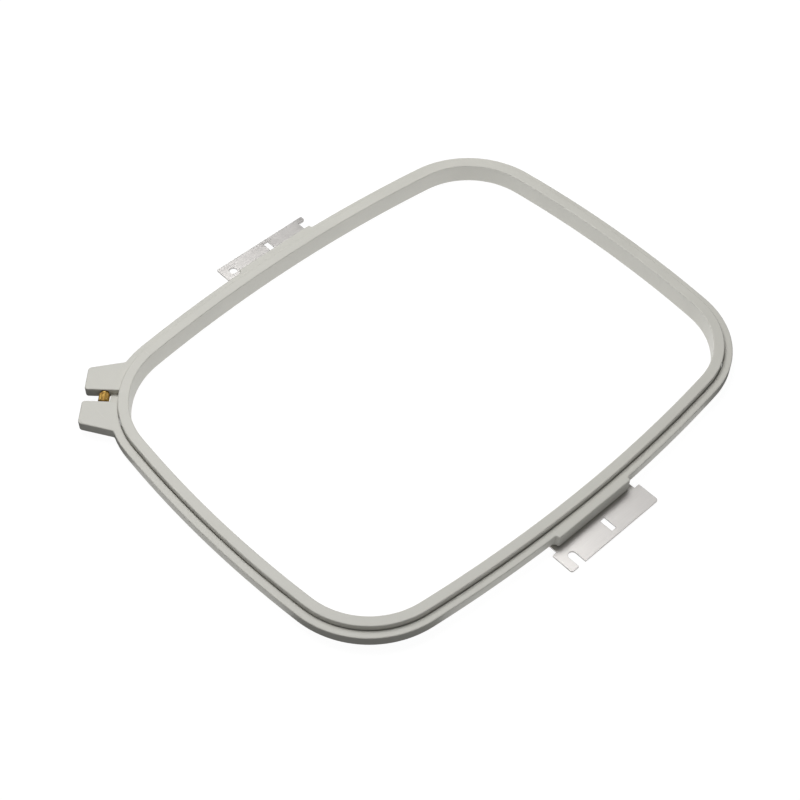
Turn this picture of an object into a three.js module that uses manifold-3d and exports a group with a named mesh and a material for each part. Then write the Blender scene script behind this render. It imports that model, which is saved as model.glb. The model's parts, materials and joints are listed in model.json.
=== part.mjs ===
// Large double-ring hoop for a tubular embroidery machine.
//
// The inner ring presses the cloth into the outer ring. The outer ring is split at its front left corner,
// where a brass turnbuckle screw draws two lugs together. A steel bracket under each side clips the hoop to the
// machine's arms: the left one has a round pin hole and the right one an open slot.
//
// Millimetres. +X is the hoop's right, +Y its back, +Z up. The origin lies on the surface that the brackets
// rest on, below the middle of the window.

import * as THREE from 'three';
import { mergeVertices } from 'three/addons/utils/BufferGeometryUtils.js';
import Module from 'manifold-3d';

const wasm = await Module();
wasm.setup();

// ---------- driving dimensions ----------

// The window is a rounded rectangle whose four sides bow outwards. Its front left corner, at the clamp, is a
// little rounder than the others.
const WINDOW_HALF_WIDTH = 142.8;
const WINDOW_HALF_LENGTH = 183.4;
const SIDE_BOW_RADIUS = 1045;
const END_BOW_RADIUS = 825;
const WINDOW_CORNER_RADIUS = 53.5;
const CLAMP_CORNER_RADIUS = 59.5;
const BOW_STEPS = 6;
const CORNER_STEPS = 16;

// Clearance between two pieces that touch.
const CLEARANCE = 0.3;

// Rings, from the window outwards.
const INNER_RING_WIDTH = 7.5;
const INNER_RING_BOTTOM = 0.8;
const INNER_RING_TOP = 15.8;
const OUTER_RING_WIDTH = 5.9;
const OUTER_RING_BOTTOM = 4.4;
const OUTER_RING_TOP = 11.9;

// Offsets of the rings' walls from the window's edge.
const OUTER_BORE_OFFSET = INNER_RING_WIDTH + CLEARANCE;
const OUTER_WALL_OFFSET = OUTER_BORE_OFFSET + OUTER_RING_WIDTH;

// Clamp lugs. "Out" is measured from the clamp corner's arc centre along the corner's diagonal, and "across"
// is measured from that diagonal along the tension screw.
const LUG_GAP = 9.8;
const LUG_END_OUT = 91.5;
const LUG_END_HALF_WIDTH = 24.8;
const LUG_ROOT_OUT = 66.2;
const LUG_ROOT_HALF_WIDTH = 30.2;
const LUG_GAP_CORNER = 1.8;
const LUG_OUTER_CORNER = 2.6;

// Tension screw: a barrel between the lugs with a stud at each end, and a threaded insert for each stud.
const SCREW_OUT = 77.8;
const SCREW_HEIGHT = (OUTER_RING_BOTTOM + OUTER_RING_TOP) / 2;
const BARREL_RADIUS = 3.7;
const BARREL_LENGTH = 8;
const BARREL_CHAMFER = 0.4;
const STUD_RADIUS = 2;
const STUD_LENGTH = 11;
const LUG_INSERT_RADIUS = 2.8;
const LUG_INSERT_BORE = 2.2;
const LUG_INSERT_LENGTH = 8;
const LUG_HOLE_DEPTH = 14;

// The tongue on the split's back end bridges the gap between the inner ring and the screw's barrel. Its tip
// stops short of the front end.
const TONGUE_TIP_GAP = 1.2;
const TONGUE_TOP = OUTER_RING_BOTTOM + 3;
const TONGUE_OUT = SCREW_OUT - BARREL_RADIUS - CLEARANCE;

// Bosses on the outer ring's sides, which the brackets are screwed to.
const BOSS_FACE_X = 158.7;
const BOSS_HALF_LENGTH = 33.6;
const BOSS_END_FILLET = 2;
const BOSS_NOSE = 0.7;
const BOSS_BACK_ROUNDING = 5;

// Brackets: a plate outside the hoop and a narrower neck under the boss.
const PLATE_THICKNESS = 1.5;
const PLATE_OUTER_X = 177.5;
const PLATE_INNER_X = 160.5;
const NECK_INNER_X = 151.2;
const NECK_HALF_LENGTH = 37;
const PLATE_CORNER_RADIUS = 1.8;
const PIN_X = 169;
const PIN_Y = -31.3;
const PIN_HOLE_RADIUS = 3;
const KEY_HOLE_LENGTH_X = 10.6;
const KEY_HOLE_WIDTH_Y = 4.4;
const RIGHT_PLATE_FRONT = -40.9;
const RIGHT_PLATE_BACK = 41.4;
const RIGHT_KEY_HOLE = { outerX: 173.4, frontY: 0.9 };
const LEFT_PLATE_FRONT = -39.8;
const LEFT_PLATE_BACK = 35.2;
const LEFT_KEY_HOLE = { outerX: 174.9, frontY: 2 };
const LEFT_HOOK_WIDTH = 4.4;
const LEFT_HOOK_BACK = 41.4;

// Countersunk bracket screws and the threaded inserts that they go into.
const BRACKET_SCREW_X = 154.6;
const BRACKET_SCREW_Y = [-27, -9, 9, 27];
const SCREW_HEAD_RADIUS = 2.7;
const SCREW_HEAD_HEIGHT = 1.2;
const SCREW_SHANK_RADIUS = 1.45;
const SCREW_TIP_HEIGHT = 6.2;
const SCREW_RECESS = 0.1;
const SCREW_SLOT_WIDTH = 0.7;
const SCREW_SLOT_DEPTH = 0.7;
const BRACKET_INSERT_RADIUS = 2.3;
const BRACKET_INSERT_BORE = 1.7;
const BRACKET_INSERT_LENGTH = 4.2;
const BRACKET_HOLE_TOP = 8;

// How finely round shapes are divided, and how far a cutter reaches past what it cuts.
const ROUND_STEPS = 32;
const SMALL_ROUND_STEPS = 24;
const FILLET_STEPS = 6;
const OVERCUT = 2;

// The hoop's left and right sides, and the clamp's front and back lugs.
const SIDES = [-1, 1];

// ---------- materials ----------

const ringPlastic = new THREE.MeshStandardMaterial({ color: 0xd0cec7, roughness: 0.5, metalness: 0 });
const plateSteel = new THREE.MeshStandardMaterial({ color: 0xc4c2be, roughness: 0.35, metalness: 1 });
const screwSteel = new THREE.MeshStandardMaterial({ color: 0xb9bbbd, roughness: 0.3, metalness: 1 });
const brass = new THREE.MeshStandardMaterial({ color: 0xb98a3c, roughness: 0.3, metalness: 1 });

// ---------- solids ----------

function toSolid(geometry) {
  const bare = geometry.clone();
  bare.deleteAttribute('normal');
  bare.deleteAttribute('uv');
  const merged = mergeVertices(bare, 1e-4);
  return new wasm.Manifold(new wasm.Mesh({
    numProp: 3,
    vertProperties: new Float32Array(merged.attributes.position.array),
    triVerts: new Uint32Array(merged.index.array),
  }));
}

function toMesh(name, solid, material) {
  const { vertProperties, triVerts } = solid.getMesh();
  const geometry = new THREE.BufferGeometry();
  geometry.setAttribute('position', new THREE.BufferAttribute(vertProperties, 3));
  geometry.setIndex(new THREE.BufferAttribute(triVerts, 1));
  geometry.computeVertexNormals();
  const mesh = new THREE.Mesh(geometry, material);
  mesh.name = name;
  return mesh;
}

function joined(solids) {
  return solids.reduce((whole, solid) => whole.add(solid));
}

function cut(solid, cutters) {
  return cutters.reduce((rest, cutter) => rest.subtract(cutter), solid);
}

// A prism between two heights. The outline and its holes are lists of points.
function prism(outline, bottom, top, holes = []) {
  const shape = new THREE.Shape(outline);
  shape.holes = holes.map((hole) => new THREE.Path(hole));
  const geometry = new THREE.ExtrudeGeometry(shape, { depth: top - bottom, bevelEnabled: false });
  return geometry.translate(0, 0, bottom);
}

// A body of revolution about +Z. Its profile is a list of [radius, height] pairs.
function turned(profile, steps = SMALL_ROUND_STEPS) {
  const points = profile.map(([radius, height]) => new THREE.Vector2(radius, height));
  return new THREE.LatheGeometry(points, steps).rotateX(Math.PI / 2);
}

function rod(radius, bottom, top) {
  return turned([[0, bottom], [radius, bottom], [radius, top], [0, top]]);
}

function tube(radius, bore, bottom, top) {
  return turned([[bore, bottom], [radius, bottom], [radius, top], [bore, top], [bore, bottom]]);
}

// ---------- outlines ----------

function point(x, y) {
  return new THREE.Vector2(x, y);
}

// Points along an arc, with both ends.
function arc(centreX, centreY, radius, start, end, steps) {
  return Array.from({ length: steps + 1 }, (_, i) => {
    const angle = start + (end - start) * i / steps;
    return point(centreX + radius * Math.cos(angle), centreY + radius * Math.sin(angle));
  });
}

const SIDE_CENTRE_X = WINDOW_HALF_WIDTH - SIDE_BOW_RADIUS;
const END_CENTRE_Y = WINDOW_HALF_LENGTH - END_BOW_RADIUS;

// The corner arc touches a side's arc and an end's arc from inside, so its centre lies at a known distance
// from the centre of each.
function cornerCentre(radius) {
  const fromSide = SIDE_BOW_RADIUS - radius;
  const fromEnd = END_BOW_RADIUS - radius;
  const apart = Math.hypot(SIDE_CENTRE_X, END_CENTRE_Y);
  const along = (fromSide ** 2 - fromEnd ** 2 + apart ** 2) / (2 * apart);
  const aside = Math.sqrt(fromSide ** 2 - along ** 2);
  const unitX = -SIDE_CENTRE_X / apart;
  const unitY = END_CENTRE_Y / apart;
  return point(SIDE_CENTRE_X + unitX * along - unitY * aside, unitY * along + unitX * aside);
}

const CORNER = cornerCentre(WINDOW_CORNER_RADIUS);
const CLAMP_CORNER = cornerCentre(CLAMP_CORNER_RADIUS);

// A quarter of the window's outline moved outwards, from the right side's middle to the back end's middle.
function quarterOutline(centre, radius, offset) {
  const sideAngle = Math.atan2(centre.y, centre.x - SIDE_CENTRE_X);
  const endAngle = Math.atan2(centre.y - END_CENTRE_Y, centre.x);
  return [
    ...arc(SIDE_CENTRE_X, 0, SIDE_BOW_RADIUS + offset, 0, sideAngle, BOW_STEPS),
    ...arc(centre.x, centre.y, radius + offset, sideAngle, endAngle, CORNER_STEPS).slice(1),
    ...arc(0, END_CENTRE_Y, END_BOW_RADIUS + offset, endAngle, Math.PI / 2, BOW_STEPS).slice(1),
  ];
}

// The window's outline moved outwards by an offset, anticlockwise.
function ringOutline(offset) {
  const plain = quarterOutline(CORNER, WINDOW_CORNER_RADIUS, offset);
  const clamped = quarterOutline(CLAMP_CORNER, CLAMP_CORNER_RADIUS, offset);
  const quarters = [[1, 1, plain], [-1, 1, plain], [-1, -1, clamped], [1, -1, plain]];
  return quarters.flatMap(([signX, signY, quarter]) => {
    const points = quarter.map(({ x, y }) => point(signX * x, signY * y));
    if (signX !== signY) points.reverse();
    return points.slice(1);
  });
}

// ---------- the clamp corner's own axes ----------

const OUT = new THREE.Vector3(-1, -1, 0).normalize();
const ACROSS = new THREE.Vector3(-1, 1, 0).normalize();
const UP = new THREE.Vector3(0, 0, 1);

function clampPoint(out, across) {
  return point(
    -CLAMP_CORNER.x + out * OUT.x + across * ACROSS.x,
    -CLAMP_CORNER.y + out * OUT.y + across * ACROSS.y,
  );
}

// Carries a body that was turned about +Z to the tension screw's axis. Its +Z end then points to the back lug
// for side 1 and to the front lug for side -1.
function ontoScrewAxis(geometry, side) {
  const middle = clampPoint(SCREW_OUT, 0);
  const along = ACROSS.clone().multiplyScalar(side);
  const matrix = new THREE.Matrix4().makeBasis(UP, new THREE.Vector3().crossVectors(along, UP), along);
  matrix.setPosition(middle.x, middle.y, SCREW_HEIGHT);
  return geometry.applyMatrix4(matrix);
}

// ---------- the rings ----------

function innerRing() {
  const ring = prism(ringOutline(INNER_RING_WIDTH), INNER_RING_BOTTOM, INNER_RING_TOP, [ringOutline(0)]);
  return toMesh('inner_ring', toSolid(ring), ringPlastic);
}

function lug(side) {
  const gapFace = LUG_GAP / 2;
  const outline = [
    [LUG_ROOT_OUT, gapFace],
    [LUG_END_OUT - LUG_GAP_CORNER, gapFace],
    [LUG_END_OUT, gapFace + LUG_GAP_CORNER],
    [LUG_END_OUT, LUG_END_HALF_WIDTH - LUG_OUTER_CORNER],
    [LUG_END_OUT - LUG_OUTER_CORNER, LUG_END_HALF_WIDTH],
    [LUG_ROOT_OUT, LUG_ROOT_HALF_WIDTH],
  ].map(([out, across]) => clampPoint(out, side * across));
  return toSolid(prism(outline, OUTER_RING_BOTTOM, OUTER_RING_TOP));
}

// The boss's plan has a concave fillet where each end runs into the ring. Its side view has a rounded lower
// back corner.
function boss(side) {
  const bottom = PLATE_THICKNESS + CLEARANCE;
  const reach = BOSS_HALF_LENGTH + BOSS_END_FILLET;
  const wallX = WINDOW_HALF_WIDTH + OUTER_BORE_OFFSET - OVERCUT;
  const filletX = BOSS_FACE_X - BOSS_NOSE;
  const plan = [
    point(wallX, -reach),
    ...arc(filletX, -reach, BOSS_END_FILLET, Math.PI, Math.PI / 2, FILLET_STEPS),
    point(BOSS_FACE_X, -BOSS_HALF_LENGTH),
    point(BOSS_FACE_X, BOSS_HALF_LENGTH),
    ...arc(filletX, reach, BOSS_END_FILLET, -Math.PI / 2, -Math.PI, FILLET_STEPS),
    point(wallX, reach),
  ].map(({ x, y }) => point(side * x, y));
  const rounding = BOSS_BACK_ROUNDING;
  const sideView = [
    point(-reach, bottom),
    ...arc(BOSS_HALF_LENGTH - rounding, bottom + rounding, rounding, -Math.PI / 2, 0, FILLET_STEPS),
    point(BOSS_HALF_LENGTH, OUTER_RING_BOTTOM + rounding),
    point(reach, OUTER_RING_BOTTOM + rounding),
    point(reach, OUTER_RING_TOP),
    point(-reach, OUTER_RING_TOP),
  ];
  const ontoSide = new THREE.Matrix4().makeBasis(new THREE.Vector3(0, 1, 0), UP, new THREE.Vector3(1, 0, 0));
  const foot = prism(sideView, -PLATE_OUTER_X, PLATE_OUTER_X).applyMatrix4(ontoSide);
  return toSolid(prism(plan, bottom, OUTER_RING_TOP)).intersect(toSolid(foot));
}

// The gap at the split is open all through outside the tongue, and above the tongue and at its tip.
function gapCutters() {
  const gapFace = LUG_GAP / 2;
  const inner = CLAMP_CORNER_RADIUS;
  const outer = LUG_END_OUT + OVERCUT;
  return [
    [inner, gapFace, TONGUE_TOP],
    [TONGUE_OUT, gapFace, -OVERCUT],
    [inner, TONGUE_TIP_GAP - gapFace, -OVERCUT],
  ].map(([start, back, bottom]) => prism([
    clampPoint(start, -gapFace),
    clampPoint(outer, -gapFace),
    clampPoint(outer, back),
    clampPoint(start, back),
  ], bottom, OUTER_RING_TOP + OVERCUT));
}

function outerRing() {
  const gapFace = LUG_GAP / 2;
  const bore = prism(ringOutline(OUTER_BORE_OFFSET), -OVERCUT, OUTER_RING_TOP + OVERCUT);
  const cutters = [bore, ...gapCutters()];
  for (const side of SIDES) {
    const lugHole = rod(LUG_INSERT_RADIUS + CLEARANCE, gapFace - OVERCUT, gapFace + LUG_HOLE_DEPTH);
    cutters.push(ontoScrewAxis(lugHole, side));
    for (const y of BRACKET_SCREW_Y) {
      const hole = rod(BRACKET_INSERT_RADIUS + CLEARANCE, 0, BRACKET_HOLE_TOP);
      cutters.push(hole.translate(side * BRACKET_SCREW_X, y, 0));
    }
  }
  const band = toSolid(prism(ringOutline(OUTER_WALL_OFFSET), OUTER_RING_BOTTOM, OUTER_RING_TOP));
  const whole = joined([band, ...SIDES.map(lug), ...SIDES.map(boss)]);
  return toMesh('outer_ring', cut(whole, cutters.map(toSolid)), ringPlastic);
}

// ---------- the brackets ----------

function keyHole({ outerX, frontY }) {
  const innerX = outerX - KEY_HOLE_LENGTH_X;
  const backY = frontY + KEY_HOLE_WIDTH_Y;
  return [point(innerX, frontY), point(outerX, frontY), point(outerX, backY), point(innerX, backY)];
}

// A quarter arc at a plate's outer corner: turn 0 for the front corner and 1 for the back one.
function outerCorner(x, y, radius, turn) {
  const centreY = turn === 0 ? y + radius : y - radius;
  return arc(x - radius, centreY, radius, (turn - 1) * Math.PI / 2, turn * Math.PI / 2, FILLET_STEPS);
}

// The neck's edge, from its back end to the front shoulder.
function neck(back) {
  return [
    point(NECK_INNER_X, back),
    point(NECK_INNER_X, -NECK_HALF_LENGTH),
    point(PLATE_INNER_X, -NECK_HALF_LENGTH),
  ];
}

// The right plate's outer edge, with the open slot that takes the arm's pin.
function rightPlateOutline() {
  return [
    point(PLATE_INNER_X, RIGHT_PLATE_FRONT),
    ...outerCorner(PLATE_OUTER_X, RIGHT_PLATE_FRONT, PLATE_CORNER_RADIUS, 0),
    point(PLATE_OUTER_X, PIN_Y - PIN_HOLE_RADIUS),
    ...arc(PIN_X, PIN_Y, PIN_HOLE_RADIUS, -Math.PI / 2, -3 * Math.PI / 2, SMALL_ROUND_STEPS / 2),
    point(PLATE_OUTER_X, PIN_Y + PIN_HOLE_RADIUS),
    ...outerCorner(PLATE_OUTER_X, RIGHT_PLATE_BACK, PLATE_CORNER_RADIUS, 1),
    point(PLATE_INNER_X, RIGHT_PLATE_BACK),
    point(PLATE_INNER_X, NECK_HALF_LENGTH),
    ...neck(NECK_HALF_LENGTH),
  ];
}

// The left plate's outer edge, with the hook that reaches back past the rest of the plate.
function leftPlateOutline() {
  const hookX = PLATE_OUTER_X - LEFT_HOOK_WIDTH;
  const rounding = PLATE_CORNER_RADIUS;
  return [
    point(PLATE_INNER_X, LEFT_PLATE_FRONT),
    ...outerCorner(PLATE_OUTER_X, LEFT_PLATE_FRONT, PLATE_CORNER_RADIUS / 2, 0),
    ...outerCorner(PLATE_OUTER_X, LEFT_HOOK_BACK, PLATE_CORNER_RADIUS / 2, 1),
    ...arc(hookX + rounding, LEFT_HOOK_BACK - rounding, rounding, Math.PI / 2, Math.PI, FILLET_STEPS),
    point(hookX, LEFT_PLATE_BACK),
    ...neck(LEFT_PLATE_BACK),
  ];
}

// Mirrors an outline to the given side and keeps it anticlockwise.
function onSide(points, side) {
  const moved = points.map(({ x, y }) => point(side * x, y));
  return side > 0 ? moved : moved.reverse();
}

function bracket(name, side, outline, holes) {
  const plate = prism(onSide(outline, side), 0, PLATE_THICKNESS, holes.map((hole) => onSide(hole, side)));
  const headRadius = SCREW_HEAD_RADIUS + CLEARANCE / 2;
  const shankRadius = SCREW_SHANK_RADIUS + CLEARANCE / 2;
  const countersinks = BRACKET_SCREW_Y.map((y) => {
    const sink = turned([
      [0, -OVERCUT], [headRadius, -OVERCUT], [headRadius, SCREW_RECESS], [shankRadius, SCREW_HEAD_HEIGHT],
      [shankRadius, PLATE_THICKNESS + OVERCUT], [0, PLATE_THICKNESS + OVERCUT],
    ]);
    return toSolid(sink.translate(side * BRACKET_SCREW_X, y, 0));
  });
  return toMesh(name, cut(toSolid(plate), countersinks), plateSteel);
}

function rightBracket() {
  return bracket('right_bracket', 1, rightPlateOutline(), [keyHole(RIGHT_KEY_HOLE)]);
}

function leftBracket() {
  const pinHole = arc(PIN_X, PIN_Y, PIN_HOLE_RADIUS, 0, 2 * Math.PI, ROUND_STEPS).slice(1);
  return bracket('left_bracket', -1, leftPlateOutline(), [keyHole(LEFT_KEY_HOLE), pinHole]);
}

// ---------- fasteners ----------

// A countersunk screw, head down, with a straight driver slot.
function bracketScrew(name, x, y) {
  const screw = toSolid(turned([
    [0, SCREW_RECESS], [SCREW_HEAD_RADIUS, SCREW_RECESS], [SCREW_SHANK_RADIUS, SCREW_HEAD_HEIGHT],
    [SCREW_SHANK_RADIUS, SCREW_TIP_HEIGHT], [0, SCREW_TIP_HEIGHT],
  ]));
  const slotLength = 2 * (SCREW_HEAD_RADIUS + OVERCUT);
  const slotTop = SCREW_RECESS + SCREW_SLOT_DEPTH;
  const slot = new THREE.BoxGeometry(SCREW_SLOT_WIDTH, slotLength, 2 * slotTop);
  const mesh = toMesh(name, screw.subtract(toSolid(slot)), screwSteel);
  mesh.position.set(x, y, 0);
  return mesh;
}

function bracketInsert(name, x, y) {
  const bottom = PLATE_THICKNESS + 2 * CLEARANCE;
  const insert = tube(BRACKET_INSERT_RADIUS, BRACKET_INSERT_BORE, bottom, bottom + BRACKET_INSERT_LENGTH);
  const mesh = toMesh(name, toSolid(insert), brass);
  mesh.position.set(x, y, 0);
  return mesh;
}

function lugInsert(name, side) {
  const face = LUG_GAP / 2 + CLEARANCE;
  const insert = tube(LUG_INSERT_RADIUS, LUG_INSERT_BORE, face, face + LUG_INSERT_LENGTH);
  return toMesh(name, toSolid(ontoScrewAxis(insert, side)), brass);
}

// The barrel between the lugs and the two studs, one right-hand and one left-hand, as one turned piece.
function tensionScrew() {
  const barrelEnd = BARREL_LENGTH / 2;
  const studEnd = barrelEnd + STUD_LENGTH;
  const half = [
    [BARREL_RADIUS, barrelEnd - BARREL_CHAMFER], [BARREL_RADIUS - BARREL_CHAMFER, barrelEnd],
    [STUD_RADIUS, barrelEnd], [STUD_RADIUS, studEnd - BARREL_CHAMFER],
    [STUD_RADIUS - BARREL_CHAMFER, studEnd], [0, studEnd],
  ];
  const otherHalf = half.map(([radius, height]) => [radius, -height]).reverse();
  const screw = ontoScrewAxis(turned([...otherHalf, ...half], ROUND_STEPS), 1);
  return toMesh('tension_screw', toSolid(screw), brass);
}

// ---------- assembly ----------

const hoop = new THREE.Group();
hoop.add(outerRing(), leftBracket(), rightBracket());
for (const [sideName, side] of [['left', -1], ['right', 1]]) {
  const fixings = new THREE.Group();
  fixings.position.x = side * BRACKET_SCREW_X;
  BRACKET_SCREW_Y.forEach((y, i) => {
    fixings.add(bracketScrew(`${sideName}_bracket_screw_${i + 1}`, 0, y));
    fixings.add(bracketInsert(`${sideName}_bracket_insert_${i + 1}`, 0, y));
  });
  hoop.add(fixings);
}
hoop.add(lugInsert('front_lug_insert', -1), lugInsert('back_lug_insert', 1), tensionScrew());
hoop.add(innerRing());

export default hoop;
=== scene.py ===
import json
import math

import bmesh
import bpy
from mathutils import Matrix, Vector
from mathutils.geometry import delaunay_2d_cdt


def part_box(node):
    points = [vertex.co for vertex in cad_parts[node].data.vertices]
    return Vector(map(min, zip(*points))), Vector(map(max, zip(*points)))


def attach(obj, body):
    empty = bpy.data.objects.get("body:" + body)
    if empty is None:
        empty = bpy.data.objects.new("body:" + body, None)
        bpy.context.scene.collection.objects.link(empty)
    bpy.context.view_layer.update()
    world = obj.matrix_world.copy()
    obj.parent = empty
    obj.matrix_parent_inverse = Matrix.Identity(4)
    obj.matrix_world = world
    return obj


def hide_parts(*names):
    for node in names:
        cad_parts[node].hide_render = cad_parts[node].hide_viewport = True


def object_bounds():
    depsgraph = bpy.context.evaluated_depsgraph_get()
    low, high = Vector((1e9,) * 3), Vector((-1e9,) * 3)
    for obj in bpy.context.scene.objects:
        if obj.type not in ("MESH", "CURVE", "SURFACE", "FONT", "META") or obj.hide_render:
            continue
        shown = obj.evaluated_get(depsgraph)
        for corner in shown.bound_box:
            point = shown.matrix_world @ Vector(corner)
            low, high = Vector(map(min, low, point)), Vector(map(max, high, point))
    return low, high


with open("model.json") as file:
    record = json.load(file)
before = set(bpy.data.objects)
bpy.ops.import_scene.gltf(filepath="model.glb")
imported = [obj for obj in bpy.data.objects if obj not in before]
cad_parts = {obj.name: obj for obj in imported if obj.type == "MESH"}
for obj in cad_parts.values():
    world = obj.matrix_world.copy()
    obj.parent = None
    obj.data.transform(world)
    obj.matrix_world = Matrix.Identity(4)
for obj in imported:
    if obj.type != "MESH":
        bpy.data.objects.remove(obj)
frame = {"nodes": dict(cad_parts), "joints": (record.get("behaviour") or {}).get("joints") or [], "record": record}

# Large double-ring hoop for a tubular embroidery machine: two moulded rings, a brass tension screw at the
# split corner, and a steel bracket under each side. Metres, with +X to the hoop's right, +Y to its back and
# +Z up.

MM = 0.001
QUARTER = math.pi / 2

# ---------- sizes from the frame ----------

cad_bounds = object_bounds()
inner_low, inner_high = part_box("inner_ring")
outer_low, outer_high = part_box("outer_ring")
right_low, right_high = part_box("right_bracket")
left_low, left_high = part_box("left_bracket")
screw_head_low, screw_head_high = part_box("right_bracket_screw_1")
screw_joint = next(joint for joint in frame["joints"] if joint["name"] == "tension_screw_turn")
screw_middle = Vector(screw_joint["pos_m"])
screw_axis = Vector(screw_joint["axis"])

# ---------- driving dimensions ----------

# The window is a rounded rectangle whose sides and ends bow outwards, roundest at the clamp's corner.
INNER_RING_WIDTH = 7.5 * MM
OUTER_RING_WIDTH = 5.9 * MM
RING_CLEARANCE = 0.3 * MM
WINDOW_HALF_WIDTH = inner_high.x - INNER_RING_WIDTH
WINDOW_HALF_LENGTH = inner_high.y - INNER_RING_WIDTH
SIDE_BOW_RADIUS = 1045 * MM
END_BOW_RADIUS = 825 * MM
WINDOW_CORNER_RADIUS = 53.5 * MM
CLAMP_CORNER_RADIUS = 59.5 * MM
BORE_OFFSET = INNER_RING_WIDTH + RING_CLEARANCE
WALL_OFFSET = BORE_OFFSET + OUTER_RING_WIDTH

# The outer ring's band is as far below the tension screw's axis as above it.
OUTER_RING_TOP = outer_high.z
OUTER_RING_BOTTOM = 2 * screw_middle.z - OUTER_RING_TOP
BOSS_BOTTOM = outer_low.z

# Rounding of the moulded edges.
RING_EDGE = 0.8 * MM
RING_LOWER_EDGE = 0.5 * MM
FOOT_EDGE = 0.3 * MM

# Clamp lugs, in the clamp's own axes: out from the corner arc's centre, and across along the tension screw.
LUG_GAP = 9.8 * MM
LUG_END_OUT = 91.5 * MM
LUG_SHOULDER = Vector((88.9, 24.8)) * MM
LUG_ROOT = Vector((66.2, 30.2)) * MM
LUG_ROOT_FILLET = 2.4 * MM
LUG_OUTER_CORNER = 3 * MM
LUG_GAP_CORNER = 2.2 * MM
LUG_BORE_CORNER = 1 * MM
LUG_HOLE_RADIUS = 3.1 * MM
LUG_HOLE_DEPTH = 14 * MM

# The back end's tongue, low in the split, in the same axes. Its root is sunk in the back lug.
TONGUE_TIP_GAP = 1.2 * MM
TONGUE_TOP = OUTER_RING_BOTTOM + 3 * MM
TONGUE_EDGE = 0.3 * MM
TONGUE_ROOT = 3 * MM

# Bosses that the brackets are screwed to. Each has a foot below the ring.
BOSS_FACE = outer_high.x
BOSS_HALF_LENGTH = 33.6 * MM
BOSS_FILLET = 1.5 * MM
BOSS_NOSE = 0.9 * MM
BOSS_BACK_ROUNDING = 5 * MM
FOOT_TOP = OUTER_RING_BOTTOM + 1.2 * MM

# Joined solids never share a face: one solid's faces stand this far off the other's.
JOIN_OFFSET = 0.01 * MM

# Brackets. The left one's places are given as on the right side, and mirrored.
PLATE_OUTER = right_high.x
PLATE_INNER = 160.5 * MM
PLATE_TOP = right_high.z
PLATE_EDGE = 0.12 * MM
PLATE_CORNER = 1.8 * MM
PLATE_CRISP_CORNER = 0.4 * MM
NECK_INNER = right_low.x
NECK_HALF_LENGTH = 37 * MM
NECK_CORNER = 1 * MM
NECK_FILLET = 0.5 * MM
PIN = Vector((169, -31.3)) * MM
PIN_HOLE_RADIUS = 3 * MM
SLOT_END_RADIUS = 0.999 * PIN_HOLE_RADIUS
SLOT_FRONT_CORNER = 0.6 * MM
SLOT_BACK_CORNER = 0.3 * MM
KEY_HOLE_SIZE = Vector((10.6, 4.4)) * MM
KEY_HOLE_CORNER = 0.3 * MM
RIGHT_KEY_HOLE = Vector((173.4, 0.9)) * MM
LEFT_KEY_HOLE = Vector((174.9, 2)) * MM
LEFT_PLATE_BACK = 35.2 * MM
LEFT_HOOK_WIDTH = 4.4 * MM
LEFT_FRONT_CORNER = 0.9 * MM
LEFT_HOOK_CORNER = 1.2 * MM

# Countersunk bracket screws, four to a side.
BRACKET_SCREW_X = (screw_head_low.x + screw_head_high.x) / 2
BRACKET_SCREW_Y = [y * MM for y in (-27, -9, 9, 27)]
COUNTERSINK_RADIUS = 2.85 * MM
COUNTERSINK_RECESS = 0.1 * MM
COUNTERSINK_TOP = 1.2 * MM
SCREW_HOLE_RADIUS = 1.6 * MM
INSERT_HOLE_RADIUS = 2.6 * MM
INSERT_HOLE_TOP = 8 * MM

# Tension screw: a knurled barrel with a plain collar at each end, and two threaded studs.
BARREL_RADIUS = 3.7 * MM
BARREL_HALF_LENGTH = 4 * MM
KNURL_DEPTH = 0.15 * MM
KNURL_TEETH = 28
KNURL_POINTS = 4
COLLAR_RADIUS = 3.35 * MM
COLLAR_LENGTH = 0.7 * MM
BARREL_CHAMFER = 0.3 * MM
STUD_RADIUS = 2 * MM
STUD_LENGTH = 11 * MM
STUD_CHAMFER = 0.4 * MM
THREAD_PITCH = 0.7 * MM
THREAD_DEPTH = 0.36 * MM
THREAD_ROWS = 8

# The fasteners' edges, softened by a bevel.
WELD_DISTANCE = 0.001 * MM
SOFTENED_EDGE = 0.08 * MM
SOFTENED_STEPS = 2
SOFTENED_ANGLE = math.radians(40)

# How finely curves are divided, and how flat an edge has to be to shade smooth.
ARC_TURN = math.radians(9)
ARC_CHORD = 3.5 * MM
EDGE_STEPS = 5
SAME_POINT = 0.01 * MM
SMOOTH_ANGLE = math.radians(32)
LEVEL_NORMAL = 0.9999

# How far a cutting solid reaches past what it cuts.
OVERCUT = 2 * MM

# The triangulation's own numbers: keep only the triangles inside the outlines, and its precision in metres.
TRIANGLES_INSIDE = 1
TRIANGLE_PRECISION = 1e-9

# ---------- outlines ----------
# An outline is a list of points with the material on its left: outer edges run anticlockwise, and holes
# clockwise.


def turn_of(vector):
    return math.atan2(vector.y, vector.x)


def arc(centre, radius, start, end):
    """Points along an arc, both its ends included. It runs clockwise where the end turn is the smaller."""
    steps = math.ceil(max(abs(end - start) / ARC_TURN, abs(end - start) * radius / ARC_CHORD))
    turns = (start + (end - start) * step / steps for step in range(steps + 1))
    return [centre + radius * Vector((math.cos(turn), math.sin(turn))) for turn in turns]


def circle(centre, radius):
    """A round hole's outline."""
    return arc(centre, radius, 2 * math.pi, 0)[:-1]


def without_repeats(points):
    """The points of a closed outline, each only once."""
    return [spot for i, spot in enumerate(points) if (spot - points[i - 1]).length > SAME_POINT]


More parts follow.
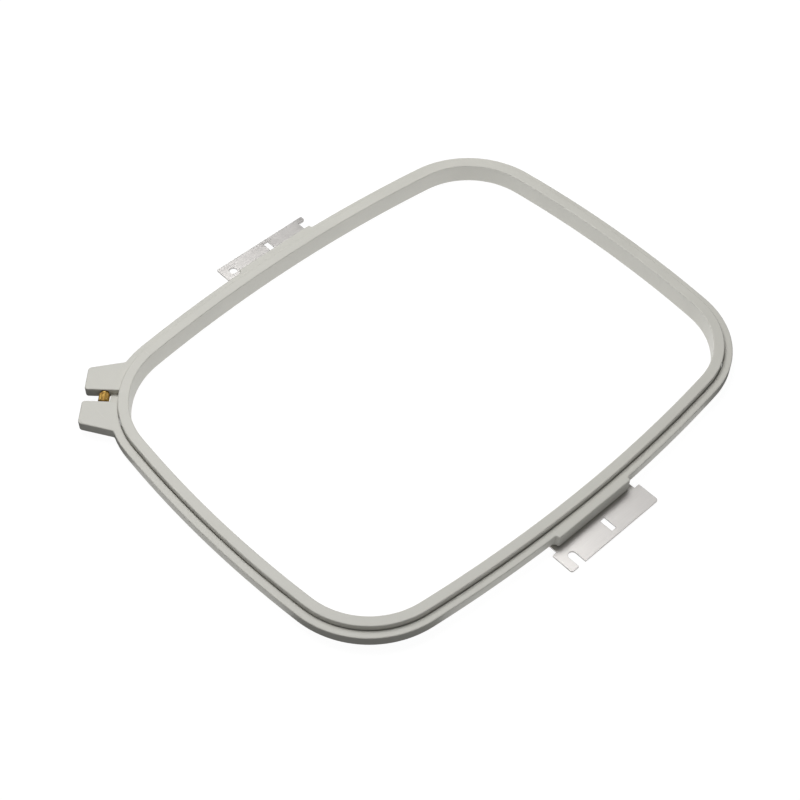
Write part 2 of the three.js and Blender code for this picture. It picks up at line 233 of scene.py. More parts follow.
def moved(outline, inset):
    """The outline moved into the material on its left."""
    edges = [(after - spot).normalized() for spot, after in zip(outline, outline[1:] + outline[:1])]
    lefts = [Vector((-edge.y, edge.x)) for edge in edges]
    mitres = [(lefts[i - 1] + left) / (1 + lefts[i - 1].dot(left)) for i, left in enumerate(lefts)]
    return [spot + mitre * inset for spot, mitre in zip(outline, mitres)]


def rounded_outline(corners):
    """A polygon with rounded corners, from a list of (x, y, radius). Inner corners are rounded too."""
    points = []
    for i, (x, y, radius) in enumerate(corners):
        tip = Vector((x, y))
        back = (Vector(corners[i - 1][:2]) - tip).normalized()
        on = (Vector(corners[(i + 1) % len(corners)][:2]) - tip).normalized()
        half = back.angle(on) / 2
        centre = tip + (back + on).normalized() * radius / math.sin(half)
        start = turn_of(tip + back * radius / math.tan(half) - centre)
        sweep = math.pi - 2 * half
        clockwise = back.x * on.y - back.y * on.x > 0
        points += arc(centre, radius, start, start - sweep if clockwise else start + sweep)
    return points


def mirrored(outline):
    """The outline on the hoop's other side, with its material still on the left."""
    return [Vector((-spot.x, spot.y)) for spot in reversed(outline)]


# ---------- the rings' outlines ----------

side_centre = Vector((WINDOW_HALF_WIDTH - SIDE_BOW_RADIUS, 0))
end_centre = Vector((0, WINDOW_HALF_LENGTH - END_BOW_RADIUS))


def corner_centre(radius):
    """Centre of the back right corner's arc, which touches the side's and the end's arcs from inside."""
    from_side = SIDE_BOW_RADIUS - radius
    from_end = END_BOW_RADIUS - radius
    apart = end_centre - side_centre
    along = (from_side ** 2 - from_end ** 2 + apart.length_squared) / (2 * apart.length)
    aside = math.sqrt(from_side ** 2 - along ** 2)
    unit = apart.normalized()
    return side_centre + unit * along + Vector((-unit.y, unit.x)) * aside


corner = corner_centre(WINDOW_CORNER_RADIUS)
side_turn = turn_of(corner - side_centre)
end_turn = turn_of(corner - end_centre)

# The front left corner, at the clamp, is a little rounder.
clamp_corner = -corner_centre(CLAMP_CORNER_RADIUS)
clamp_side_turn = turn_of(-clamp_corner - side_centre)
clamp_end_turn = turn_of(-clamp_corner - end_centre)

# The clamp is on the front left corner's diagonal.
clamp_turn = math.pi + math.pi / 4
clamp_out = Vector((math.cos(clamp_turn), math.sin(clamp_turn)))
clamp_across = screw_axis.xy


def clamp_point(out, across):
    return clamp_corner + clamp_out * out + clamp_across * across


def boss_edge(radius):
    """The right boss's plan from front to back, on a side wall of the given radius."""
    fillet_y = -BOSS_HALF_LENGTH - BOSS_FILLET
    fillet_x = side_centre.x + math.sqrt((radius + BOSS_FILLET) ** 2 - fillet_y ** 2)
    fillet = Vector((fillet_x, fillet_y))
    nose = Vector((BOSS_FACE - BOSS_NOSE, -BOSS_HALF_LENGTH + BOSS_NOSE))
    front = arc(fillet, BOSS_FILLET, turn_of(side_centre - fillet), QUARTER)
    front += arc(nose, BOSS_NOSE, -QUARTER, 0)
    back = [Vector((spot.x, -spot.y)) for spot in reversed(front)]
    return front + back


def side_wall(offset, bossed, last_turn):
    """The right side's wall from front to back, where it ends at the given turn."""
    radius = SIDE_BOW_RADIUS + offset
    if not bossed:
        return arc(side_centre, radius, -side_turn, last_turn)
    boss = boss_edge(radius)
    boss_turn = turn_of(boss[-1] - side_centre)
    front = arc(side_centre, radius, -side_turn, -boss_turn)
    return front + boss + arc(side_centre, radius, boss_turn, last_turn)


def ring_path(offset, opening=0, bossed=False):
    """Points anticlockwise round a ring's wall, from one side of the clamp's diagonal to the other."""
    ends = END_BOW_RADIUS + offset
    corners = WINDOW_CORNER_RADIUS + offset
    clamped = CLAMP_CORNER_RADIUS + offset
    left_side = [-spot for spot in side_wall(offset, bossed, clamp_side_turn)]
    front_right = Vector((corner.x, -corner.y))
    return (
        arc(clamp_corner, clamped, clamp_turn + opening, math.pi + clamp_end_turn)
        + arc(-end_centre, ends, math.pi + clamp_end_turn, 2 * math.pi - end_turn)
        + arc(front_right, corners, -end_turn, -side_turn)
        + side_wall(offset, bossed, side_turn)
        + arc(corner, corners, side_turn, end_turn)
        + arc(end_centre, ends, end_turn, math.pi - end_turn)
        + arc(-front_right, corners, math.pi - end_turn, math.pi - side_turn)
        + left_side
        + arc(clamp_corner, clamped, math.pi + clamp_side_turn, clamp_turn - opening)
    )


def ring_outline(offset):
    return without_repeats(ring_path(offset))


def lug_edge():
    """The back lug's edge from the ring's wall to its bore, as (out, across) points, and each end's turn."""
    wall = CLAMP_CORNER_RADIUS + WALL_OFFSET
    bore = CLAMP_CORNER_RADIUS + BORE_OFFSET
    along = (LUG_SHOULDER - LUG_ROOT).normalized()
    aside = Vector((-along.y, along.x))
    # The root fillet touches the lug's side and the ring's wall from outside.
    start = LUG_ROOT + aside * LUG_ROOT_FILLET
    passed = start.dot(along)
    reach = math.sqrt(passed ** 2 - start.length_squared + (wall + LUG_ROOT_FILLET) ** 2)
    root = start + along * (reach - passed)
    # The outer corner touches the lug's side and its end from inside.
    start = LUG_ROOT - aside * LUG_OUTER_CORNER
    outer = start + along * (LUG_END_OUT - LUG_OUTER_CORNER - start.x) / along.x
    gap = Vector((LUG_END_OUT - LUG_GAP_CORNER, LUG_GAP / 2 + LUG_GAP_CORNER))
    bore_across = LUG_GAP / 2 + LUG_BORE_CORNER
    inner = Vector((math.sqrt((bore + LUG_BORE_CORNER) ** 2 - bore_across ** 2), bore_across))
    points = (
        arc(root, LUG_ROOT_FILLET, turn_of(-root), turn_of(-aside))
        + arc(outer, LUG_OUTER_CORNER, turn_of(aside), 0)
        + arc(gap, LUG_GAP_CORNER, 0, -QUARTER)
        + arc(inner, LUG_BORE_CORNER, -QUARTER, turn_of(-inner))
    )
    return points, turn_of(root), turn_of(inner)


def outer_ring_outline():
    """The split ring in one closed line: its wall, the back lug, its bore and the front lug."""
    lug, wall_opening, bore_opening = lug_edge()
    back_lug = [clamp_point(out, across) for out, across in lug]
    front_lug = [clamp_point(out, -across) for out, across in reversed(lug)]
    wall = ring_path(WALL_OFFSET, wall_opening, bossed=True)
    bore = ring_path(BORE_OFFSET, bore_opening)
    return without_repeats(wall + back_lug + bore[::-1] + front_lug)


def tongue_outline():
    """The back end's tongue, which bridges the split between the inner ring and the screw's barrel."""
    bore = CLAMP_CORNER_RADIUS + BORE_OFFSET + JOIN_OFFSET
    outer = (screw_middle.xy - clamp_corner).length - BARREL_RADIUS - RING_CLEARANCE
    tip = TONGUE_TIP_GAP - LUG_GAP / 2
    root = TONGUE_ROOT + LUG_GAP / 2
    steps = [tip + (root - tip) * step / EDGE_STEPS for step in range(EDGE_STEPS + 1)]
    inner_side = [clamp_point(math.sqrt(bore ** 2 - across ** 2), across) for across in steps]
    return inner_side + [clamp_point(outer, root), clamp_point(outer, tip)]


def foot_outline():
    """The right boss's plan below the ring, a hair outside the ring's own wall and bore."""
    boss = boss_edge(SIDE_BOW_RADIUS + WALL_OFFSET)
    turn = turn_of(boss[-1] - side_centre)
    bore = arc(side_centre, SIDE_BOW_RADIUS + BORE_OFFSET + 3 * JOIN_OFFSET, turn, -turn)
    return moved(without_repeats(boss + bore), -JOIN_OFFSET)


# ---------- solids ----------


def straight(bottom, top):
    """A plain wall's profile, as (inset, height) pairs from its bottom to its top."""
    return [(0, bottom), (0, top)]


def rounded(bottom, top, lower, upper):
    """A wall's profile with quarter-round edges, whose radii are lower and upper."""
    turns = [QUARTER * step / EDGE_STEPS for step in range(EDGE_STEPS + 1)]
    low = [(lower * (1 - math.sin(turn)), bottom + lower * (1 - math.cos(turn))) for turn in turns]
    high = [(upper * (1 - math.cos(turn)), top - upper * (1 - math.sin(turn))) for turn in turns]
    return low + high


def bridge(mesh, rows):
    """Closes the wall between each row of points and the next."""
    for lower, upper in zip(rows, rows[1:]):
        for i in range(len(lower)):
            mesh.faces.new((lower[i - 1], lower[i], upper[i], upper[i - 1]))


def solid(*walls):
    """A closed mesh between two flat faces. Each wall is an outline with its profile, the outer wall first."""
    mesh = bmesh.new()
    rings = [
        [[mesh.verts.new((*spot, height)) for spot in moved(outline, inset)] for inset, height in profile]
        for outline, profile in walls
    ]
    for wall in rings:
        bridge(mesh, wall)
    for row, facing in ((0, -1), (-1, 1)):
        spots = []
        wall_of = []
        edges = []
        for number, wall in enumerate(rings):
            first = len(spots)
            spots += wall[row]
            wall_of += [number] * len(wall[row])
            edges += [(i, i + 1) for i in range(first, len(spots) - 1)] + [(len(spots) - 1, first)]
        flat = [spot.co.xy for spot in spots]
        triangles, sources = delaunay_2d_cdt(flat, edges, [], TRIANGLES_INSIDE, TRIANGLE_PRECISION)[2:4]
        for triangle in triangles:
            corners = [sources[i][0] for i in triangle]
            touched = {wall_of[i] for i in corners}
            # Every hole is convex, so a triangle inside one has all its corners on that hole's wall.
            if touched == {0} or len(touched) > 1:
                mesh.faces.new([spots[i] for i in corners][::facing])
    return mesh


def rod(radius, bottom, top):
    """A plain upright cylinder on the origin."""
    return solid((circle(Vector((0, 0)), radius)[::-1], straight(bottom, top)))


def placed(mesh, matrix):
    """The mesh carried by a matrix, with its faces still outwards if that mirrors it."""
    mesh.transform(matrix)
    if matrix.determinant() < 0:
        bmesh.ops.reverse_faces(mesh, faces=mesh.faces)
    return mesh


def piece(name, *meshes):
    """One object from one or more closed meshes."""
    whole = bpy.data.meshes.new(name)
    together = bmesh.new()
    for mesh in meshes:
        mesh.to_mesh(whole)
        together.from_mesh(whole)
        mesh.free()
    together.to_mesh(whole)
    together.free()
    made = bpy.data.objects.new(name, whole)
    bpy.context.scene.collection.objects.link(made)
    return made


def apply_modifiers(made):
    """Makes a piece's mesh what its modifiers show."""
    evaluated = made.evaluated_get(bpy.context.evaluated_depsgraph_get())
    made.data = bpy.data.meshes.new_from_object(evaluated)
    made.modifiers.clear()


def combine(made, tool, operation):
    """Joins the tool to a piece, or cuts the piece with it, and removes the tool."""
    modifier = made.modifiers.new("combine", "BOOLEAN")
    modifier.operation = operation
    modifier.solver = "MANIFOLD"
    modifier.object = tool
    apply_modifiers(made)
    bpy.data.objects.remove(tool)


def smooth(made):
    """Smooth shading that keeps level faces level and real edges sharp."""
    mesh = bmesh.new()
    mesh.from_mesh(made.data)
    for face in mesh.faces:
        face.smooth = True
    for edge in mesh.edges:
        level = [abs(face.normal.z) > LEVEL_NORMAL for face in edge.link_faces]
        edge.smooth = level[0] == level[1] and edge.calc_face_angle(0) < SMOOTH_ANGLE
    mesh.to_mesh(made.data)
    mesh.free()
    weighted = made.modifiers.new("weighted normals", "WEIGHTED_NORMAL")
    weighted.keep_sharp = True
    weighted.weight = 100
    apply_modifiers(made)


def onto_screw_axis(side):
    """Carries +Z to the tension screw's axis, towards the back lug for side 1 and the front one for -1."""
    along = screw_axis * side
    up = Vector((0, 0, 1))
    axes = Matrix((up, along.cross(up), along)).transposed()
    return Matrix.Translation(screw_middle) @ axes.to_4x4()


# ---------- pieces ----------


def make_inner_ring():
    profile = rounded(inner_low.z, inner_high.z, RING_LOWER_EDGE, RING_EDGE)
    return piece("hoop_inner_ring", solid(
        (ring_outline(INNER_RING_WIDTH), profile),
        (ring_outline(0)[::-1], profile),
    ))


def boss_feet():
    """The bosses' parts below the ring, with a rounded lower back corner."""
    profile = rounded(BOSS_BOTTOM, FOOT_TOP, FOOT_EDGE, 0)
    feet = piece("feet", *(
        placed(solid((foot_outline(), profile)), Matrix.Diagonal((side, 1, 1, 1)))
        for side in (-1, 1)
    ))
    start = BOSS_HALF_LENGTH - BOSS_BACK_ROUNDING
    below = BOSS_BOTTOM - OVERCUT
    behind = BOSS_HALF_LENGTH + BOSS_FILLET + OVERCUT
    rounding = arc(Vector((start, BOSS_BOTTOM + BOSS_BACK_ROUNDING)), BOSS_BACK_ROUNDING, -QUARTER, 0)
    under = [spot for spot in rounding if spot.y < OUTER_RING_BOTTOM]
    cut = [Vector((start, below)), Vector((behind, below)), Vector((behind, under[-1].y)), *under[::-1]]
    reach = BOSS_FACE + OVERCUT
    # The cut's outline is drawn in Y and Z, and goes along X.
    onto_side = Matrix(((0, 0, 1, 0), (1, 0, 0, 0), (0, 1, 0, 0), (0, 0, 0, 1)))
    cutter = placed(solid((cut, straight(-reach, reach))), onto_side)
    combine(feet, piece("corner", cutter), "DIFFERENCE")
    return feet


def make_outer_ring():
    profile = rounded(OUTER_RING_BOTTOM, OUTER_RING_TOP, RING_LOWER_EDGE, RING_EDGE)
    ring = piece("hoop_outer_ring", solid((outer_ring_outline(), profile)))
    combine(ring, boss_feet(), "UNION")
    tongue = rounded(OUTER_RING_BOTTOM + JOIN_OFFSET, TONGUE_TOP, TONGUE_EDGE, TONGUE_EDGE)
    combine(ring, piece("tongue", solid((tongue_outline(), tongue))), "UNION")
    holes = []
    for side in (-1, 1):
        lug_hole = rod(LUG_HOLE_RADIUS, LUG_GAP / 2 - OVERCUT, LUG_GAP / 2 + LUG_HOLE_DEPTH)
        holes.append(placed(lug_hole, onto_screw_axis(side)))
        for y in BRACKET_SCREW_Y:
            insert_hole = rod(INSERT_HOLE_RADIUS, 0, INSERT_HOLE_TOP)
            holes.append(placed(insert_hole, Matrix.Translation((side * BRACKET_SCREW_X, y, 0))))
    combine(ring, piece("holes", *holes), "DIFFERENCE")
    return ring


def bracket(name, outline, holes, side):
    profile = rounded(0, PLATE_TOP, PLATE_EDGE, PLATE_EDGE)
    sink = COUNTERSINK_RADIUS - SCREW_HOLE_RADIUS
    countersink = [(sink, 0), (sink, COUNTERSINK_RECESS), (0, COUNTERSINK_TOP), (0, PLATE_TOP)]
    screw_holes = [circle(Vector((BRACKET_SCREW_X, y)), SCREW_HOLE_RADIUS) for y in BRACKET_SCREW_Y]
    walls = [(outline, profile)]
    walls += [(hole, profile) for hole in holes]
    walls += [(hole, countersink) for hole in screw_holes]
    if side < 0:
        walls = [(mirrored(wall), shape) for wall, shape in walls]
    return piece(name, solid(*walls))


def key_hole(outer_front):
    inner_x = outer_front.x - KEY_HOLE_SIZE.x
    back_y = outer_front.y + KEY_HOLE_SIZE.y
    return rounded_outline([
        (inner_x, outer_front.y, KEY_HOLE_CORNER),
        (inner_x, back_y, KEY_HOLE_CORNER),
        (outer_front.x, back_y, KEY_HOLE_CORNER),
        (outer_front.x, outer_front.y, KEY_HOLE_CORNER),
    ])


def make_right_bracket():
    slot_inner = PIN.x - PIN_HOLE_RADIUS
    slot_front = PIN.y - PIN_HOLE_RADIUS
    slot_back = PIN.y + PIN_HOLE_RADIUS
    outline = rounded_outline([
        (PLATE_INNER, right_low.y, PLATE_CRISP_CORNER),
        (PLATE_OUTER, right_low.y, PLATE_CORNER),
        (PLATE_OUTER, slot_front, SLOT_FRONT_CORNER),
        (slot_inner, slot_front, SLOT_END_RADIUS),
        (slot_inner, slot_back, SLOT_END_RADIUS),
        (PLATE_OUTER, slot_back, SLOT_BACK_CORNER),
        (PLATE_OUTER, right_high.y, PLATE_CORNER),
        (PLATE_INNER, right_high.y, PLATE_CRISP_CORNER),
        (PLATE_INNER, NECK_HALF_LENGTH, NECK_FILLET),
        (NECK_INNER, NECK_HALF_LENGTH, NECK_CORNER),
        (NECK_INNER, -NECK_HALF_LENGTH, NECK_CORNER),
        (PLATE_INNER, -NECK_HALF_LENGTH, NECK_FILLET),
    ])
    return bracket("hoop_right_bracket", outline, [key_hole(RIGHT_KEY_HOLE)], 1)


def make_left_bracket():
    hook_inner = PLATE_OUTER - LEFT_HOOK_WIDTH
    outline = rounded_outline([
        (PLATE_INNER, left_low.y, PLATE_CRISP_CORNER),
        (PLATE_OUTER, left_low.y, LEFT_FRONT_CORNER),
        (PLATE_OUTER, left_high.y, LEFT_HOOK_CORNER),
        (hook_inner, left_high.y, PLATE_CORNER),
        (hook_inner, LEFT_PLATE_BACK, PLATE_CRISP_CORNER),
        (NECK_INNER, LEFT_PLATE_BACK, NECK_CORNER),
        (NECK_INNER, -NECK_HALF_LENGTH, NECK_CORNER),
        (PLATE_INNER, -NECK_HALF_LENGTH, NECK_FILLET),
    ])
    holes = [key_hole(LEFT_KEY_HOLE), circle(PIN, PIN_HOLE_RADIUS)]
    return bracket("hoop_left_bracket", outline, holes, -1)


def make_tension_screw():
    """The turnbuckle, as rows of points round its axis from the front stud's tip to the back one's."""
    steps = KNURL_TEETH * KNURL_POINTS

    def plain(height, radius):
        return height, [radius] * steps

    def knurled(height):
        teeth = (0, 1, 1, 0)
        return height, [BARREL_RADIUS - KNURL_DEPTH * teeth[i % KNURL_POINTS] for i in range(steps)]

    def threaded(height, hand):
        rounds = [height / THREAD_PITCH - hand * i / steps for i in range(steps)]
        return height, [STUD_RADIUS - THREAD_DEPTH * abs(2 * (turn % 1) - 1) for turn in rounds]

    def half(hand):
        """The rows from the barrel's middle to a stud's tip."""
        collar = BARREL_HALF_LENGTH - COLLAR_LENGTH
        stud_tip = BARREL_HALF_LENGTH + STUD_LENGTH
        thread_length = STUD_LENGTH - STUD_CHAMFER
        thread_rows = math.ceil(thread_length / THREAD_PITCH * THREAD_ROWS)
        threads = [BARREL_HALF_LENGTH + thread_length * row / thread_rows for row in range(thread_rows + 1)]
        return [
            knurled(0),
            knurled(collar - BARREL_CHAMFER),
            plain(collar, COLLAR_RADIUS),
            plain(BARREL_HALF_LENGTH - BARREL_CHAMFER / 2, COLLAR_RADIUS),
            plain(BARREL_HALF_LENGTH, COLLAR_RADIUS - BARREL_CHAMFER / 2),
            *(threaded(height, hand) for height in threads),
            plain(stud_tip, STUD_RADIUS - STUD_CHAMFER - THREAD_DEPTH),
        ]

    front = [(-height, radii) for height, radii in reversed(half(-1)[1:])]
    mesh = bmesh.new()
    rows = []
    for height, radii in front + half(1):
        turns = [2 * math.pi * i / steps for i in range(steps)]
        rows.append([
            mesh.verts.new((radius * math.cos(turn), radius * math.sin(turn), height))
            for radius, turn in zip(radii, turns)
        ])
    bridge(mesh, rows)
    mesh.faces.new(rows[0][::-1])
    mesh.faces.new(rows[-1])
    return piece("hoop_tension_screw", placed(mesh, onto_screw_axis(1)))


# ---------- materials ----------

finishes = {entry["slot"]: entry["base_color"] for entry in frame["record"]["materials"]}


def linear(colour, brightness=1):
    """A record colour, which is sRGB, as the shaders take it: linear, with an alpha of 1."""
    parts = (part / 12.92 if part < 0.04 else ((part + 0.055) / 1.055) ** 2.4 for part in colour)
    return (*(brightness * part for part in parts), 1)


def add(tree, kind, inputs, **settings):
    """A shader node. Inputs are values or other nodes' outputs, by name or number."""
    made = tree.nodes.new(kind)
    for name, value in settings.items():
        setattr(made, name, value)
    for key, value in inputs.items():
        if isinstance(value, bpy.types.NodeSocket):
            tree.links.new(value, made.inputs[key])
        else:
            made.inputs[key].default_value = value
    return made


def new_material(name):
    made = bpy.data.materials.new(name)
    made.use_nodes = True
    tree = made.node_tree
    return made, tree, tree.nodes["Principled BSDF"]


def place(tree, stretch=(1, 1, 1)):
    """Positions on the piece, stretched along its own axes."""
    coordinates = add(tree, "ShaderNodeTexCoord", {})
    inputs = {"Vector": coordinates.outputs["Object"], "Scale": stretch}
    return add(tree, "ShaderNodeMapping", inputs).outputs[0]


def noise(tree, where, scale, detail=2):
    inputs = {"Vector": where, "Scale": scale, "Detail": detail}
    return add(tree, "ShaderNodeTexNoise", inputs).outputs["Fac"]


def remap(tree, value, low, high, new_low, new_high):
    """Carries the range low..high to new_low..new_high, with no more than that."""
    inputs = {"Value": value, "From Min": low, "From Max": high, "To Min": new_low, "To Max": new_high}
    return add(tree, "ShaderNodeMapRange", inputs).outputs["Result"]


def mixed(tree, share, first, second):
    """A colour between two others, by the share of the second."""
    # The node has several inputs of one name. Numbers 6 and 7 are its colours, and output 2 is the mixed one.
    return add(tree, "ShaderNodeMix", {0: share, 6: first, 7: second}, data_type="RGBA").outputs[2]


def summed(tree, first, second):
    return add(tree, "ShaderNodeMath", {0: first, 1: second}, operation="ADD").outputs[0]


def bump(tree, height, depth):
    """A normal for a surface that stands up by the given depth where the height is 1."""
    return add(tree, "ShaderNodeBump", {"Height": height, "Strength": 1, "Distance": depth}).outputs[0]


def moulded_plastic():
    """Satin plastic with faint clouding, fine mould grain, a few scuffs and pinhead specks."""
    made, tree, shader = new_material("moulded_plastic")
    where = place(tree)
    base = finishes["ring_plastic"]
    clouds = noise(tree, where, 22, 3)
    scuffs = remap(tree, noise(tree, place(tree, (1, 9, 9)), 45, 4), 0.66, 0.72, 0, 1)
    specks = remap(tree, noise(tree, where, 1700, 1), 0.74, 0.78, 0, 1)
    grain = noise(tree, where, 2600, 3)
    colour = mixed(tree, remap(tree, clouds, 0.35, 0.65, 0, 1), linear(base, 0.96), linear(base, 1.02))
    colour = mixed(tree, remap(tree, scuffs, 0, 1, 0, 0.3), colour, linear(base, 1.12))
    colour = mixed(tree, remap(tree, specks, 0, 1, 0, 0.35), colour, linear(base, 0.6))
    tree.links.new(colour, shader.inputs["Base Color"])
    roughness = summed(tree, remap(tree, clouds, 0.3, 0.7, 0.44, 0.54), remap(tree, scuffs, 0, 1, 0, 0.12))
    tree.links.new(roughness, shader.inputs["Roughness"])
    tree.links.new(bump(tree, grain, 0.012 * MM), shader.inputs["Normal"])
    return made


def brushed_steel():
    """Rolled sheet brushed along its length, with a few cross scratches and handling marks."""
    made, tree, shader = new_material("brushed_steel")
    base = finishes["bracket_steel"]
    grain = noise(tree, place(tree, (120, 3, 120)), 30, 4)
    fine = noise(tree, place(tree, (300, 6, 300)), 30, 2)
    scratches = remap(tree, noise(tree, place(tree, (6, 90, 30)), 14, 2), 0.7, 0.74, 0, 1)
    marks = noise(tree, place(tree), 60, 3)
    colour = mixed(tree, remap(tree, grain, 0.3, 0.7, 0, 1), linear(base, 0.96), linear(base, 1.05))
    colour = mixed(tree, remap(tree, marks, 0.45, 0.75, 0, 0.15), colour, linear(base, 0.88))
    tree.links.new(colour, shader.inputs["Base Color"])
    shader.inputs["Metallic"].default_value = 1
    roughness = remap(tree, grain, 0.3, 0.7, 0.27, 0.35)
    roughness = summed(tree, roughness, remap(tree, marks, 0.4, 0.7, 0, 0.06))
    roughness = summed(tree, roughness, remap(tree, scratches, 0, 1, 0, 0.1))
    tree.links.new(roughness, shader.inputs["Roughness"])
    tree.links.new(bump(tree, summed(tree, fine, grain), 0.004 * MM), shader.inputs["Normal"])
    return made


def plated_steel():
    """Bright zinc-plated screws with light wear."""
    made, tree, shader = new_material("plated_steel")
    base = finishes["screw_steel"]
    wear = noise(tree, place(tree), 700, 3)
    colour = mixed(tree, remap(tree, wear, 0.4, 0.7, 0, 1), linear(base), linear(base, 0.72))
    tree.links.new(colour, shader.inputs["Base Color"])
    shader.inputs["Metallic"].default_value = 1
    tree.links.new(remap(tree, wear, 0.3, 0.7, 0.2, 0.4), shader.inputs["Roughness"])
    tree.links.new(bump(tree, noise(tree, place(tree), 3000, 2), 0.004 * MM), shader.inputs["Normal"])
    return made


def turned_brass():
    """Turned brass with tool marks and a little brown tarnish."""
    made, tree, shader = new_material("turned_brass")
    base = finishes["brass"]
    tarnish = noise(tree, place(tree), 420, 4)
    clean = mixed(tree, 0.6, linear(base), linear((0.66, 0.57, 0.33)))
    colour = mixed(tree, remap(tree, tarnish, 0.45, 0.75, 0, 0.6), clean, linear((0.58, 0.42, 0.24)))
    tree.links.new(colour, shader.inputs["Base Color"])
    shader.inputs["Metallic"].default_value = 1
    tree.links.new(remap(tree, tarnish, 0.3, 0.7, 0.34, 0.5), shader.inputs["Roughness"])
    tree.links.new(bump(tree, noise(tree, place(tree), 2500, 2), 0.004 * MM), shader.inputs["Normal"])
    return made


# ---------- assembly ----------

materials = {
    "ring_plastic": moulded_plastic(),
    "bracket_steel": brushed_steel(),
    "screw_steel": plated_steel(),
    "brass": turned_brass(),
}


def install(made, body, node, slot):
    """Finishes a piece and puts it in a CAD node's place."""
    smooth(made)
    made.data.materials.clear()
    made.data.materials.append(materials[slot])
    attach(made, body)
    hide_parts(node)


install(make_inner_ring(), "inner_ring", "inner_ring", "ring_plastic")
install(make_outer_ring(), "outer_frame", "outer_ring", "ring_plastic")
install(make_left_bracket(), "outer_frame", "left_bracket", "bracket_steel")
install(make_right_bracket(), "outer_frame", "right_bracket", "bracket_steel")
install(make_tension_screw(), "tension_screw", "tension_screw", "brass")

# The fasteners keep their own meshes.
for name, node in frame["nodes"].items():
    if node.hide_render:
        continue
    slot = "screw_steel" if "bracket_screw" in name else "brass"
    node.data.materials.clear()
    node.data.materials.append(materials[slot])
    node.data.shade_smooth()
    weld = node.modifiers.new("weld", "WELD")
    weld.merge_threshold = WELD_DISTANCE
    soften = node.modifiers.new("soften", "BEVEL")
    soften.width = SOFTENED_EDGE
    soften.segments = SOFTENED_STEPS
    soften.limit_method = "ANGLE"
    soften.angle_limit = SOFTENED_ANGLE
    soften.harden_normals = True

# ---------- studio ----------

middle = (cad_bounds[0] + cad_bounds[1]) / 2

CAMERA_AZIMUTH = 46.24
CAMERA_ELEVATION = 51.08
CAMERA_ROLL = 0.747
CAMERA_DISTANCE = 1100.4 * MM
CAMERA_LENS = 73.03
CAMERA_AIM = Vector((5.9, -27, 0)) * MM

# The floor is just below the hoop, and only the camera sees it. The cards that light the hoop are under it.
CARD_TOP = -1 * MM
CARD_THICKNESS = 0.2 * MM
CARD_REACH = 140 * MM
WINDOW_CARD_OFFSET = 3 * MM
WINDOW_CARD_LEVEL = 1.15
OUTER_CARD_LEVEL = 0.85
FLOOR_RADIUS = 3
FLOOR_TOP = -0.05 * MM
FLOOR_BOTTOM = -0.4 * MM
FLOOR_GREY = 0.1
FLOOR_LEVEL = 0.96
SKY_LEVEL = 0.12


def direction(azimuth, elevation):
    """A unit vector from the hoop. Azimuth 0 is the front, and 90 the right."""
    turn = math.radians(azimuth)
    rise = math.radians(elevation)
    return Vector((math.sin(turn) * math.cos(rise), -math.cos(turn) * math.cos(rise), math.sin(rise)))


def softbox(name, azimuth, elevation, distance, size, level):
    """A square soft light, aimed at the hoop. Level is the brightness it gives a white surface facing it."""
    away = direction(azimuth, elevation)
    lamp = bpy.data.lights.new(name, "AREA")
    lamp.size = size
    lamp.energy = level * (math.pi * distance) ** 2
    light = bpy.data.objects.new(name, lamp)
    light.location = middle + away * distance
    light.rotation_euler = (-away).to_track_quat("-Z", "Y").to_euler()
    light.visible_camera = False
    bpy.context.scene.collection.objects.link(light)


def glowing(name, level, grey=0):
    """A matt material that gives off white light, on a surface of the given grey."""
    made, _, shader = new_material(name)
    shader.inputs["Base Color"].default_value = (grey, grey, grey, 1)
    shader.inputs["Roughness"].default_value = 1
    shader.inputs["Specular IOR Level"].default_value = 0
    shader.inputs["Emission Color"].default_value = (1, 1, 1, 1)
    shader.inputs["Emission Strength"].default_value = level
    return made


def card(name, outline, level):
    """A white card under the hoop that lights its walls from below, as pale paper does."""
    made = piece(name, solid((outline, straight(CARD_TOP - CARD_THICKNESS, CARD_TOP))))
    made.data.materials.append(glowing(name, level))
    made.visible_camera = False


def add_camera():
    camera_data = bpy.data.cameras.new("camera")
    camera_data.lens = CAMERA_LENS
    made = bpy.data.objects.new("camera", camera_data)
    view = direction(CAMERA_AZIMUTH, CAMERA_ELEVATION)
    roll = Matrix.Rotation(math.radians(CAMERA_ROLL), 3, "Z").to_quaternion()
    made.rotation_mode = "QUATERNION"
    made.rotation_quaternion = (-view).to_track_quat("-Z", "Y") @ roll
    made.location = middle + CAMERA_AIM + view * CAMERA_DISTANCE
    bpy.context.scene.collection.objects.link(made)
    bpy.context.scene.camera = made


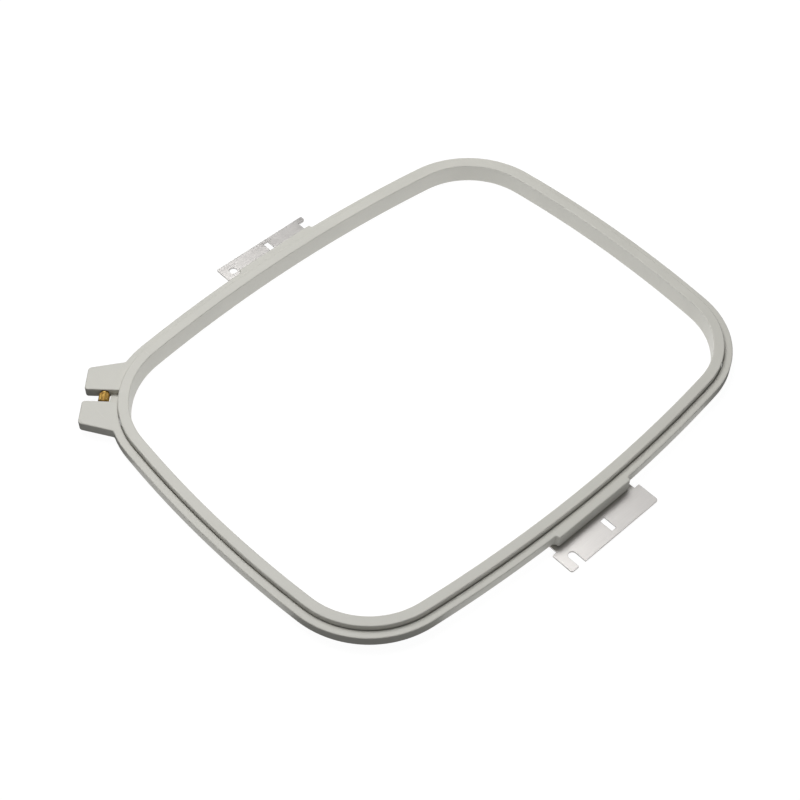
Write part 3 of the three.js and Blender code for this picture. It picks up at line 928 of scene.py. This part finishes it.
def add_cards():
    """One card in the window, and one beyond each side and end, between the corners."""
    card("window_card", ring_outline(WINDOW_CARD_OFFSET), WINDOW_CARD_LEVEL)
    half_reach = CARD_REACH / 2
    beyond_end = WINDOW_HALF_LENGTH + half_reach
    beyond_side = WINDOW_HALF_WIDTH + half_reach
    for name, x, y, half_x, half_y in (
        ("front_card", 0, -beyond_end, corner.x, half_reach),
        ("back_card", 0, beyond_end, corner.x, half_reach),
        ("left_card", -beyond_side, 0, half_reach, corner.y),
        ("right_card", beyond_side, 0, half_reach, corner.y),
    ):
        corners = ((-1, -1), (1, -1), (1, 1), (-1, 1))
        outline = [Vector((x + i * half_x, y + j * half_y)) for i, j in corners]
        card(name, outline, OUTER_CARD_LEVEL)


def add_floor():
    """A pale floor that the camera sees, and that neither lights nor shades the hoop."""
    floor = piece("floor", rod(FLOOR_RADIUS, FLOOR_BOTTOM, FLOOR_TOP))
    floor.data.materials.append(glowing("floor", FLOOR_LEVEL, FLOOR_GREY))
    floor.visible_diffuse = False
    floor.visible_glossy = False
    floor.visible_shadow = False


def add_sky():
    """A white backdrop that lights the hoop only weakly."""
    world = bpy.data.worlds.new("studio")
    world.use_nodes = True
    tree = world.node_tree
    background = tree.nodes["Background"]
    background.inputs["Color"].default_value = (1, 1, 1, 1)
    seen = add(tree, "ShaderNodeLightPath", {}).outputs["Is Camera Ray"]
    tree.links.new(remap(tree, seen, 0, 1, SKY_LEVEL, 1), background.inputs["Strength"])
    bpy.context.scene.world = world


add_camera()
softbox("key", azimuth=264, elevation=66, distance=1.3, size=0.8, level=0.8)
softbox("back_panel", azimuth=203, elevation=61, distance=2, size=1, level=0.08)
softbox("front_fill", azimuth=CAMERA_AZIMUTH, elevation=15, distance=2, size=0.9, level=0.07)
softbox("left_fill", azimuth=CAMERA_AZIMUTH - 90, elevation=18, distance=2, size=0.9, level=0.03)
softbox("right_fill", azimuth=CAMERA_AZIMUTH + 90, elevation=18, distance=2, size=0.9, level=0.08)
add_cards()
add_floor()
add_sky()
bpy.context.scene.view_settings.view_transform = "Standard"
